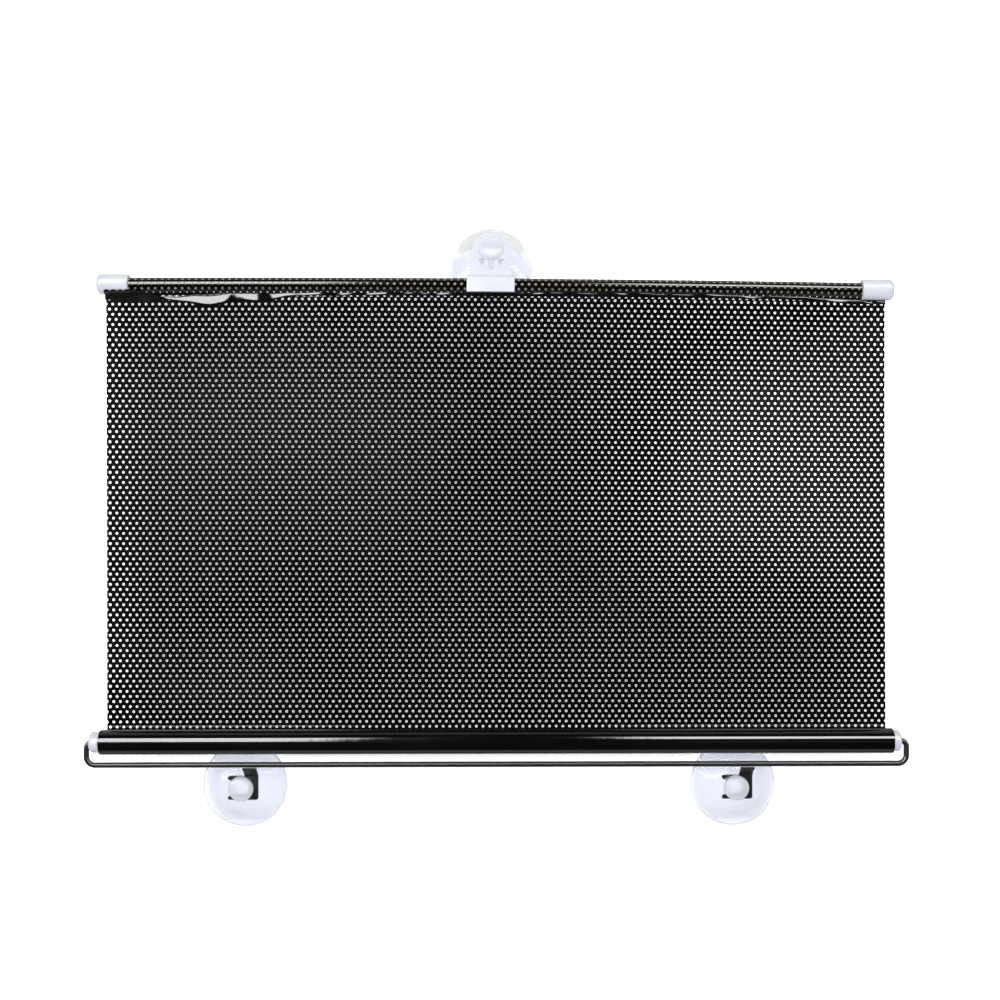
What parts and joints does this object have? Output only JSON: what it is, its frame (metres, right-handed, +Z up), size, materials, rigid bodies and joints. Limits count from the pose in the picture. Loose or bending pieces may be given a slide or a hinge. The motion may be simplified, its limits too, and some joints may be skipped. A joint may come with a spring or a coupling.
{
  "type": "car side window sunshade",
  "caption": "Roller sunshade for a car side window: dark perforated film between a sprung roller on a wire bail and a capped top rail, held by clear suction cups",
  "frame": {"origin": "middle of the whole shade's bounding box, drawn out", "axes": "+X along the roller, +Z up, +Y towards the window glass (the picture looks along +Y)"},
  "size_m": [0.462, 0.0428, 0.3448],
  "materials": {
    "black_film": "glossy perforated film",
    "black_steel": "satin black paint",
    "white_plastic": "semi-gloss",
    "clear_vinyl": "clear, glossy",
    "bare_steel": "bare",
    "board_tube": "matt",
    "pale_wood": "unvarnished"
  },
  "bodies": {
    "bail": {"wire_bail": "black_steel", "bracket_left": "black_steel", "bracket_right": "black_steel", "cup_left": "clear_vinyl", "cup_right": "clear_vinyl", "spring_arbor": "bare_steel", "film_sheet": "black_film"},
    "roller": {"film_roll": "black_film", "roller_tube": "board_tube", "plug_left": "white_plastic", "plug_right": "white_plastic", "spring_anchor": "white_plastic", "torsion_spring": "bare_steel"},
    "rail": {"rail_rod": "pale_wood", "film_hem": "black_film", "rail_cap_left": "white_plastic", "rail_cap_right": "white_plastic", "hook_clip": "white_plastic", "cup_top": "clear_vinyl"}
  },
  "joints": [
    {"name": "rail_slide", "type": "slide", "parent": "bail", "child": "rail", "axis": [0, 0, 1], "range_m": [-0.24, 0], "deforming": ["film_sheet"]},
    {"name": "roller_spin", "type": "hinge", "parent": "bail", "child": "roller", "pos_m": [0, -0.01462, -0.12103], "axis": [1, 0, 0], "range_deg": [-1965, 0]}
  ],
  "couplings": [
    {"joint": "roller_spin", "follows": "rail_slide", "rad_per_m": 142.86}
  ]
}
